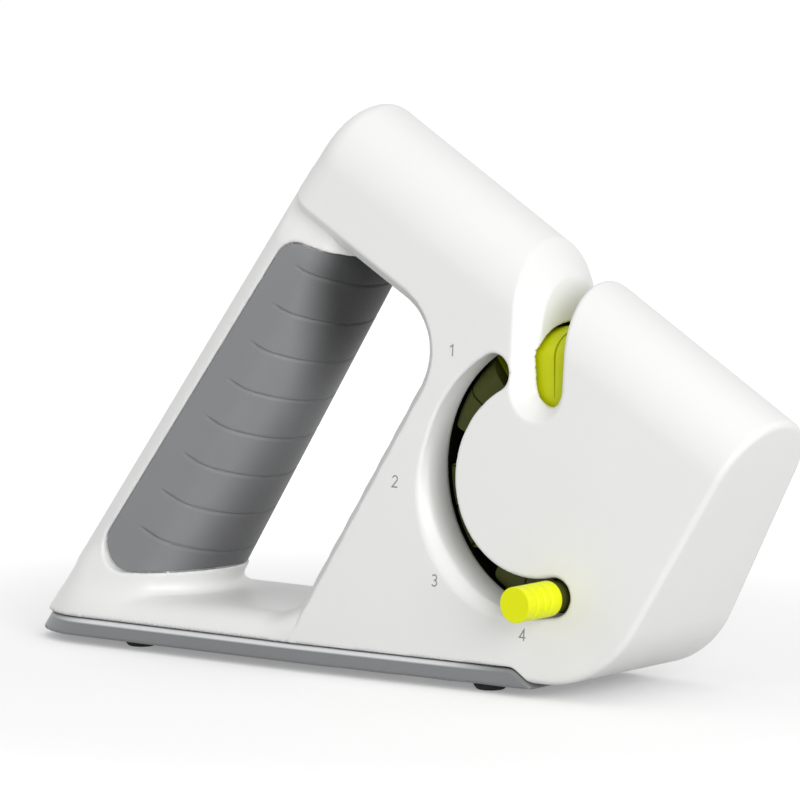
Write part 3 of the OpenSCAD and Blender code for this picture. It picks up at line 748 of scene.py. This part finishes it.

# %% [markdown]
# ## The two housing halves
# The real body is moulded as two halves that meet in the middle plane, and the screws go in from the far
# side. Each half is the body overlapped with one side of the plane. The grid is laid so that the plane runs
# through the middle of a layer of cells. The points of that layer are set exactly on the plane, so the
# halves meet without a gap. The walls of the room inside get painted shade: they are drawn matt black for
# the shade inside.

# %% Housing halves
NET_STEP, LEASH, SHADE_REACH, PAINTED_SHADE_MARGIN = 0.72, 0.6, 0.3, 0.3
NET_LOW, NET_HIGH = np.array([-112.0, -28.0, -118.0]), np.array([43.0, 0.1, 43.0])


def housing_half(name, sign):
    """One half of the body: the net of body and half space, its middle layer flattened onto the plane."""
    def side(p, y, q):
        return body(p, sign * y, q)

    low = NET_LOW.copy()
    low[1] = NET_STEP / 2 - NET_STEP * round(-NET_LOW[1] / NET_STEP)
    points, quads = surface_net(lambda p, y, q: np.maximum(side(p, y, q), y), low, NET_HIGH, NET_STEP)
    middle = points[:, 1] > -NET_STEP / 2 + 1e-9
    points[~middle] = pull_onto(side, points[~middle], LEASH * NET_STEP)
    points[middle, 1] = 0
    edge = middle & (np.abs(body(points[:, 0], 0 * points[:, 1], points[:, 2])) < NET_STEP)
    points[edge] = pull_onto(lambda p, y, q: body(p, 0 * y, q), points[edge], LEASH * NET_STEP)
    corner = unit(slope(side, points, SHADE_REACH))[quads]
    capped = middle[quads].all(1)
    corner[capped] = (0, 1, 0)
    spots = points[:, 0], sign * points[:, 1], points[:, 2]
    # Faces on the walls of the drum room get painted shade, a matt black for the shade inside
    painted_shade_faces = ((np.abs(drum_room(*spots)) < PAINTED_SHADE_MARGIN) & (pierced_body(*spots) < -PAINTED_SHADE_MARGIN))[quads].all(1)
    turn_back = np.array([[CT, 0, -ST], [0, sign, 0], [ST, 0, CT]])
    if sign < 0:
        quads, corner = quads[:, ::-1], corner[:, ::-1]
    piece = make_object(name, points @ turn_back, quads, corner @ turn_back)
    return piece, painted_shade_faces & ~capped


for node_name, sign in (("left_housing", 1), ("right_housing", -1)):
    skin, painted_shade_faces = housing_half(node_name + "_skin", sign)
    finish_piece(skin, white_abs, "body", "white_plastic", node_name)
    second_material(skin, painted_shade_black, painted_shade_faces)

# %% [markdown]
# ## Base plate
# A separate grey plate closes the body from below and carries the feet. It follows the body's outline, and
# its front goes down in an S under the body. It is described by distances too, because its edges are all
# rounded. Its top edge gets a painted highlight, a lighter band that fades out towards the heel and the
# front.

# %% Base plate
PLATE_UP, PLATE_OUT, PLATE_GAP, PLATE_EDGE, PLATE_HEEL = 2.0, 0.3, 0.35, 0.8, 1.6
FOOT_D, FOOT_POCKET, FOOT_GAP = 8.0, 0.8, 0.1
FOOT_SPOTS = np.array([[x + HEEL_X, y] for x in (35.6, 141.1) for y in (-16.0, 16.0)])
PLATE_SCREWS = np.array([[x + HEEL_X, y] for x in (49.1, 119.1) for y in (-12.0, 12.0)])
PLATE_SCREW_R, PLATE_SCREW_DEEP, PLATE_SCREW_EDGE = 2.8, 2.4, 0.3
PLATE_LOW, PLATE_HIGH = np.array([-155.0, -27.0, -50.0]), np.array([8.0, 27.0, -41.0])
PLATE_STEP, PLATE_SHADE_REACH = 0.8, 0.25
PAINTED_HIGHLIGHT, PAINTED_HIGHLIGHT_UP, PAINTED_HIGHLIGHT_HEEL, PAINTED_HIGHLIGHT_FRONT = "#D8D9DA", (5.2, 5.7), (6.0, 30.0), (0.0, -22.0)


def plate(x, y, z):
    """Distance from the base plate: the body's plan at its underside, between the floor gap and the seat."""
    p, q = x * CT - z * ST, x * ST + z * CT
    level = z + AXIS_UP
    seat_p, seat_q = x * CT - (SEAT_UP - AXIS_UP) * ST, x * ST + (SEAT_UP - AXIS_UP) * CT
    sides = base_sides(seat_p, y, seat_q) - PLATE_OUT
    shape = fillet(sides, PLATE_HEEL - handle_place(p, q)[0], HEEL_R)
    shape = fillet(shape, level - seat(p, q) + PLATE_GAP, PLATE_EDGE)
    shape = fillet(shape, PLATE_UP - level, PLATE_EDGE)
    pockets = to_nearest(x, y, FOOT_SPOTS) - FOOT_D / 2 - FOOT_GAP
    shape = np.maximum(shape, -np.maximum(pockets, level - PLATE_UP - FOOT_POCKET))
    heads = to_nearest(x, y, PLATE_SCREWS) - PLATE_SCREW_R
    return fillet(shape, -np.maximum(heads, level - PLATE_UP - PLATE_SCREW_DEEP), PLATE_SCREW_EDGE)


points, quads = surface_net(plate, PLATE_LOW, PLATE_HIGH, PLATE_STEP)
points = pull_onto(plate, points, LEASH * PLATE_STEP)
normals = unit(slope(plate, points, PLATE_SHADE_REACH))
base_skin = make_object("base_plate_skin", points, quads, normals[quads])
finish_piece(base_skin, grey_abs, "body", "grey_plastic", "base_plate")

# Painted highlight: the plate's top edge is drawn lighter, in a band that fades towards the heel and the
# front
tree, colour_input, plain = coloured_by(grey_abs)
place = add_node(tree, "ShaderNodeSeparateXYZ", {"Vector": object_place(tree)}).outputs
bright = fade(tree, place["Z"], *PAINTED_HIGHLIGHT_UP)
for start, ends in ((HEEL_X, PAINTED_HIGHLIGHT_HEEL), (SEAT_END, PAINTED_HIGHLIGHT_FRONT)):
    part = fade(tree, place["X"], *(AXIS[0] + start + end for end in ends))
    bright = add_node(tree, "ShaderNodeMath", {0: bright, 1: part}, operation="MULTIPLY").outputs["Value"]
# The sockets of a colour mix share their names, so they go by number: 6 and 7 are colours, and 2 comes out
band = add_node(tree, "ShaderNodeMix", {0: bright, 6: plain, 7: linear(PAINTED_HIGHLIGHT)}, data_type="RGBA")
tree.links.new(band.outputs[2], colour_input)

# %% [markdown]
# ## Turned pieces
# The feet and the selector knob are round, so each is a profile carried round an axis. The knob's rings are
# shallow grooves for the thumb, and its stem inside the slot gets painted shade, a dull dark olive. A Bevel
# modifier rounds the turned edges.


# %% Feet and knob
def turned(name, profile, centres, along, count=48, edge_mm=0.3):
    """Pieces turned from one profile of radius and height, round one direction at each centre."""
    angle = np.linspace(0, 2 * np.pi, count, endpoint=False)[:, None]
    radius, height = np.array(profile, float).T
    ring = np.broadcast_arrays(radius * np.cos(angle), radius * np.sin(angle), height)
    frame_of = [np.roll(np.eye(3), shift, 0)[along] for shift in (1, -1, 0)]
    local = sum(part[..., None] * way for part, way in zip(ring, frame_of))
    points = (local.reshape(1, -1, 3) + np.array(centres)[:, None]).reshape(-1, 3)
    faces = grid_faces(count, len(profile), wrap_rows=True)
    shifts = np.arange(len(centres))[:, None, None] * count * len(profile)
    piece = weld(make_object(name, points, (faces + shifts).reshape(-1, 4)), sharp_degrees=30)
    bevel = piece.modifiers.new("edges", "BEVEL")
    bevel.width, bevel.segments, bevel.limit_method = edge_mm * MM, 3, "ANGLE"
    return piece


FOOT_IN, FOOT_TAPER = 0.8, 1.0
foot_r, foot_top = FOOT_D / 2, PLATE_UP + FOOT_POCKET - FOOT_GAP
foot_profile = [[0, 0], [foot_r - FOOT_IN, 0], [foot_r, FOOT_TAPER], [foot_r, foot_top], [0, foot_top]]
feet = turned("feet", np.array(foot_profile) - [0, AXIS_UP], np.column_stack([FOOT_SPOTS, np.zeros(4)]), 2)
finish_piece(feet, foot_rubber, "body", "foot_rubber", "rubber_feet")

KNOB_R, KNOB_TIP, KNOB_FOOT, KNOB_ANGLE = 4.15, 34.2, 11.6, np.radians(282)
KNOB_STEM, STEM_STEP = 21.4, 0.4
RING_SPOTS, RING_DEEP, RING_W = (3.6, 6.3, 9.0), 0.3, 0.9
knob_profile = [[0, -KNOB_TIP], [KNOB_R, -KNOB_TIP]]
for spot in RING_SPOTS:
    y = spot - KNOB_TIP
    knob_profile += [[KNOB_R, y - RING_W / 2], [KNOB_R - RING_DEEP, y - RING_W / 4],
                     [KNOB_R - RING_DEEP, y + RING_W / 4], [KNOB_R, y + RING_W / 2]]
knob_profile += [[KNOB_R, -KNOB_STEM], [KNOB_R - STEM_STEP, -KNOB_STEM], [KNOB_R - STEM_STEP, -KNOB_FOOT],
                 [0, -KNOB_FOOT]]
knob_spot = [[ARC_R * np.cos(KNOB_ANGLE), 0, ARC_R * np.sin(KNOB_ANGLE)]]
knob = turned("knob", knob_profile, knob_spot, 1, count=72, edge_mm=0.35)
finish_piece(knob, lime_acetal, "drum", "lime_plastic", "selector_knob")
across = np.array([face.center.y for face in knob.data.polygons]) / MM - AXIS[1]
# The stem gets painted shade: the dark olive stands for the shade inside the slot
second_material(knob, painted_shade_olive, across > -KNOB_STEM)

# %% [markdown]
# ## Drum halves
# The drum is two moulded halves that clamp the sharpening stones between them. Its rim is a row of four
# lobes, one for each stage, crowned like a tyre, and each lobe has a slit for the blade. Each half is a
# surface of the angle round the axis and of the place along a closed section, from the bore out to the rim
# and back. The sides get painted shade, a dull dark olive for the shade deep behind the selector slot,
# except on the lobe that the knife slot shows at rest.

# %% Drum halves
STAGES = np.radians([90, 144, 198, 252])
LOBE_HALF, ARM_HALF, SLIT_HALF = np.radians([18, 8, 0.4])
PAINTED_SHADE_FROM, STEP_TURN, TURN_DEGREES, RIM_POINTS = 8.5, 0.003, 2.0, 13
HUB_R, SLIT_R, BORE_R, HUB_CROWN, LOBE_MARGIN = 18.0, 19.5, 3.05, 1.5, 5.0


def apart(angle, others):
    """Smallest angle between a direction and any of some others."""
    return np.abs(turned_from(angle[:, None], np.atleast_1d(others))).min(1)


def drum_reach(angle):
    """Outer radius at an angle: the rim's on a lobe or the knob's arm, the slit's floor, or the hub's."""
    lobe = apart(angle, STAGES)
    on_rim = (lobe < LOBE_HALF) | (apart(angle, KNOB_ANGLE) < ARM_HALF)
    return np.where(lobe < SLIT_HALF, SLIT_R, np.where(on_rim, DRUM_R, HUB_R))


def drum_half(name, sign):
    """One half: for each angle, a closed section of bore, middle plane, elliptic crown and outer face."""
    spans = np.concatenate([STAGES + h for h in (-LOBE_HALF, LOBE_HALF, -SLIT_HALF, SLIT_HALF)])
    spans = np.concatenate([spans, KNOB_ANGLE + np.array([-ARM_HALF, ARM_HALF])])
    near = np.concatenate([spans - STEP_TURN, spans + STEP_TURN])
    even = np.radians(np.arange(TURN_DEGREES / 4, 360, TURN_DEGREES))
    angle = np.unique(np.concatenate([even, np.mod(near, 2 * np.pi)]))
    reach = drum_reach(angle)[:, None]
    crown = np.where(reach > HUB_R + LOBE_MARGIN, DRUM_CROWN, HUB_CROWN)
    bow = np.linspace(0, np.pi / 2, RIM_POINTS)
    rim_r, rim_y = reach - crown + crown * np.cos(bow), DRUM_HALF * np.sin(bow) + 0 * reach
    bore_r, bore_y = np.full((len(angle), 2), BORE_R), np.tile([DRUM_HALF, 0.0], (len(angle), 1))
    radius, y = np.hstack([rim_r, bore_r]), sign * np.hstack([rim_y, bore_y])
    turn = angle[:, None]
    points = np.stack([radius * np.cos(turn), y, radius * np.sin(turn)], -1).reshape(-1, 3)
    faces = grid_faces(*radius.shape, wrap_rows=True, wrap_columns=True)
    return weld(make_object(name, points, faces), sharp_degrees=35)


for side, sign in (("drum_left", -1), ("drum_right", 1)):
    skin = drum_half(side + "_skin", sign)
    finish_piece(skin, lime_drum, "drum", "lime_plastic", side + "_half")
    middles = np.array([face.center for face in skin.data.polygons]) / MM - AXIS
    angle = np.arctan2(middles[:, 2], middles[:, 0])
    in_front = np.abs(turned_from(angle, STAGES[0])) < (STAGES[1] - STAGES[0]) / 2
    # Faces of the sides, except on the lobe in the knife slot, get painted shade in dark olive
    second_material(skin, painted_shade_olive, (np.abs(middles[:, 1]) > PAINTED_SHADE_FROM) & ~in_front)

# %% [markdown]
# ## Soft grip
# The grip is a sleeve of soft rubber in its bed round the handle, with thin finger grooves that fade out
# before the rear edge. It is one surface of two parameters: the first runs round the handle's section from
# the near rear edge over the round front to the far one, and the second runs up the handle between the
# grip's lower and upper edges. A Solidify modifier gives the rubber its thickness. Its round front gets
# painted shade: the grey is drawn darker there, and the darkest at the top of it, under the barrel.

# %% Soft grip
GROOVES, GROOVE_AT, GROOVE_FROM, GROOVE_PITCH, GROOVE_RISE = 8, 45.8, 14.1, 11.5, 0.2
GROOVE_W, GROOVE_DEEP, GROOVE_START, GROOVE_FADE = 0.8, 0.55, 6.0, 2.5
GRIP_GAP, GRIP_THICK = 0.35, 0.75
CORNER_ZONE, LANES, GRIP_ROWS = 7.0, (22, 8, 12, 14), 420
END_GUESSES, END_ROUNDS = (50.0, 120.0), 12
PAINTED_SHADE_TONES = [(0.0, 23.0, 30.0, 0.42), (0.3, 53.0, 61.0, 0.1)]


def grip_section(lane, along):
    """Depth and half width on the grip's section for a lane from 0 at the rear edge to 4 at mid-front.

    Lanes cross the corner zone up to 1, the flat side to 2, the round edge to 3 and then the round front.
    """
    half, front, front_r = (v - GRIP_INSET for v in handle_shape(along))
    middle = front - front_r
    turn_at = middle + np.sqrt((front_r - TURN_R) ** 2 - (half - TURN_R) ** 2)
    meet = np.arctan2(half - TURN_R, turn_at - middle)
    rear = grip_rear(along) + GRIP_GAP
    zone = rear + CORNER_ZONE * (1 - np.cos(np.clip(lane, 0, 1) * np.pi / 2))
    flat = rear + CORNER_ZONE + (turn_at - rear - CORNER_ZONE) * np.clip(lane - 1, 0, 1)
    bend = np.pi / 2 - (np.pi / 2 - meet) * np.clip(lane - 2, 0, 1)
    sweep = meet * (1 - np.clip(lane - 3, 0, 1))
    depth = np.select([lane <= 1, lane <= 2, lane <= 3],
                      [zone, flat, turn_at + TURN_R * np.cos(bend)], middle + front_r * np.cos(sweep))
    width = np.select([lane <= 2, lane <= 3], [half + 0 * lane, half - TURN_R + TURN_R * np.sin(bend)],
                      front_r * np.sin(sweep))
    return depth, width


def corner_cut(inward, rise):
    """How far a round corner lies above its lower edge, at a distance inward from the rear edge.

    The lower edge climbs by rise for each millimetre. Up to where it leaves the edge, the corner is a circle
    that touches both edges.
    """
    r, steep = GRIP_CORNER, np.hypot(1, rise)
    circle = r * steep - np.sqrt(np.maximum(r * r - (inward - r) ** 2, 0)) - rise * (inward - r)
    return np.where(inward < r + r * rise / steep, circle, 0)


def grip_ends(lane):
    """Lower and upper end of the grip along the handle, with round rear corners, found by iteration."""
    low, high = (np.full_like(lane, guess) for guess in END_GUESSES)
    low_slope = (CB + GRIP_LOW_SLOPE) / SB
    for _ in range(END_ROUNDS):
        depth = grip_section(lane, low)[0]
        line = (GRIP_LOW + GRIP_LOW_SLOPE * (depth - GRIP_MID) + depth * CB + GRIP_GAP) / SB
        low = line + corner_cut(depth - grip_section(0 * lane, low)[0], low_slope)
        depth = grip_section(lane, high)[0]
        line = GRIP_TOP + GRIP_TOP_SLOPE * (depth - GRIP_TOP_AT) - GRIP_GAP
        high = line - corner_cut(depth - grip_section(0 * lane, high)[0], -GRIP_TOP_SLOPE)
    return low, high


def groove_cut(depth, along):
    """Depth of the finger grooves: a round-bottomed dip across each groove line, faded in from the rear."""
    place = (along - GROOVE_AT - GROOVE_RISE * (depth - GROOVE_FROM)) / GROOVE_PITCH
    number = np.clip(np.round(place), 0, GROOVES - 1)
    off = (place - number) * GROOVE_PITCH / (GROOVE_W / 2)
    grown = smooth((depth - GRIP_LEFT - GROOVE_START) / GROOVE_FADE)
    return GROOVE_DEEP * grown * np.clip(1 - off ** 2, 0, 1)


def soft_grip():
    """Grip surface: lanes round the section, both sides mirrored, times places up the handle."""
    spans = [np.linspace(n, n + 1, count)[:-1] for n, count in enumerate(LANES)]
    half_lanes = np.concatenate([*spans, [len(LANES)]])
    lane = np.concatenate([half_lanes, half_lanes[-2::-1]])[None, :]
    side = np.concatenate([-np.ones(len(half_lanes)), np.ones(len(half_lanes) - 1)])[None, :]
    low, high = grip_ends(lane)
    share = np.linspace(0, 1, GRIP_ROWS)[:, None]
    along = low + (high - low) * share
    depth, width = grip_section(lane, along)
    shell = np.stack([depth * SB + along * CB + HEEL_X, side * width, along * SB - depth * CB - AXIS_UP], -1)
    cut = groove_cut(depth, along) + ledge_dip(depth, shell[..., 0] * ST + shell[..., 2] * CT)
    across, upward = np.gradient(shell, axis=1), np.gradient(shell, axis=0)
    shell = shell - unit(np.cross(across, upward)) * cut[..., None]
    return make_object("grip", shell.reshape(-1, 3), grid_faces(*depth.shape)[:, ::-1])


def paint_shade(material, lean, start, end, share):
    """Paints shade into a plastic's colour: from full colour at start to a share of it at end.

    The place is the depth from the handle's back plane plus lean times the place up along it.
    """
    tree, colour_input, colour = coloured_by(material)
    way = np.array([SB + lean * CB, 0.0, lean * SB - CB])
    heel = (AXIS[0] + HEEL_X) * way[0]
    reach = add_node(tree, "ShaderNodeVectorMath", {0: object_place(tree), 1: way.tolist()},
                     operation="DOT_PRODUCT")
    light = fade(tree, reach.outputs["Value"], heel + start, heel + end, 1.0, share)
    tone = add_node(tree, "ShaderNodeVectorMath", {0: colour, "Scale": light}, operation="SCALE")
    tree.links.new(tone.outputs["Vector"], colour_input)


# Painted shade: the grip's round front is drawn darker, the darkest under the barrel's ledge
for tone in PAINTED_SHADE_TONES:
    paint_shade(grip_tpe, *tone)
grip = soft_grip()
thick = grip.modifiers.new("rubber", "SOLIDIFY")
thick.thickness, thick.offset = GRIP_THICK * MM, -1.0
finish_piece(grip, grip_tpe, "body", "grip_rubber", "soft_grip")

# %% [markdown]
# ## Stage numbers
# Plain numbers on the near panel beside the selector slot mark the four stages. Each is a thin ribbon of
# ink along the stroke of the figure, raised just enough to lie on the panel.

# %% Stage numbers
FIGURE_HIGH, STROKE_W, INK_T, INK_SUNK, INK_POINTS = 2.6, 0.36, 0.05, 0.01, 7
FIGURE_SPOTS = [(37.5, 131.6), (39.4, 184.8), (36.9, 223.3), (35.8, 267.5)]


def bow_of(centre, radius, start, end, count=14):
    """Points on an arc, from one angle to another in degrees."""
    angle = np.radians(np.linspace(start, end, count))
    return np.array(centre) + radius * np.stack([np.cos(angle), np.sin(angle)], -1)


FIGURES = [
    np.array([[-0.22, 0.78], [0.08, 1.0], [0.08, 0.0]]),
    np.vstack([bow_of((0, 0.74), 0.26, 165, -35), [[-0.28, 0.0], [0.3, 0.0]]]),
    np.vstack([bow_of((0, 0.76), 0.24, 150, -80), bow_of((0, 0.27), 0.27, 80, -150)]),
    np.array([[0.14, 0.0], [0.14, 1.0], [-0.32, 0.3], [0.34, 0.3]])]


def figure(name, stroke, radius, angle):
    """A ribbon of ink along a stroke: half an ellipse carried along it, mitred at its corners."""
    path = stroke * FIGURE_HIGH
    ahead = unit(np.diff(path, axis=0))
    before, after = np.vstack([ahead[:1], ahead]), np.vstack([ahead, ahead[-1:]])
    mitre = np.stack([-(before + after)[:, 1], (before + after)[:, 0]], -1)
    mitre /= np.sum(mitre * np.stack([-after[:, 1], after[:, 0]], -1), axis=1)[:, None]
    lift = np.linspace(0, np.pi, INK_POINTS)
    flat = path[:, None] + mitre[:, None] * (STROKE_W / 2 * np.cos(lift))[None, :, None]
    x = flat[..., 0] + radius * np.cos(np.radians(angle))
    z = flat[..., 1] - FIGURE_HIGH / 2 + radius * np.sin(np.radians(angle))
    rise = rise_of(x * CT - z * ST, x * ST + z * CT)
    y = -(CROWN - rise * SD) / CD - INK_T * np.sin(lift) + INK_SUNK
    points = np.stack([x, y, z], -1).reshape(-1, 3)
    faces = grid_faces(len(path), INK_POINTS, wrap_columns=True)
    piece = weld(make_object(name, points, faces), sharp_degrees=60)
    finish_piece(piece, grey_ink, "body", "grey_plastic")


for number, (stroke, spot) in enumerate(zip(FIGURES, FIGURE_SPOTS), 1):
    figure("stage_number_" + str(number), stroke, *spot)

# %% Finish: view transform
scene.view_settings.view_transform = "Standard"
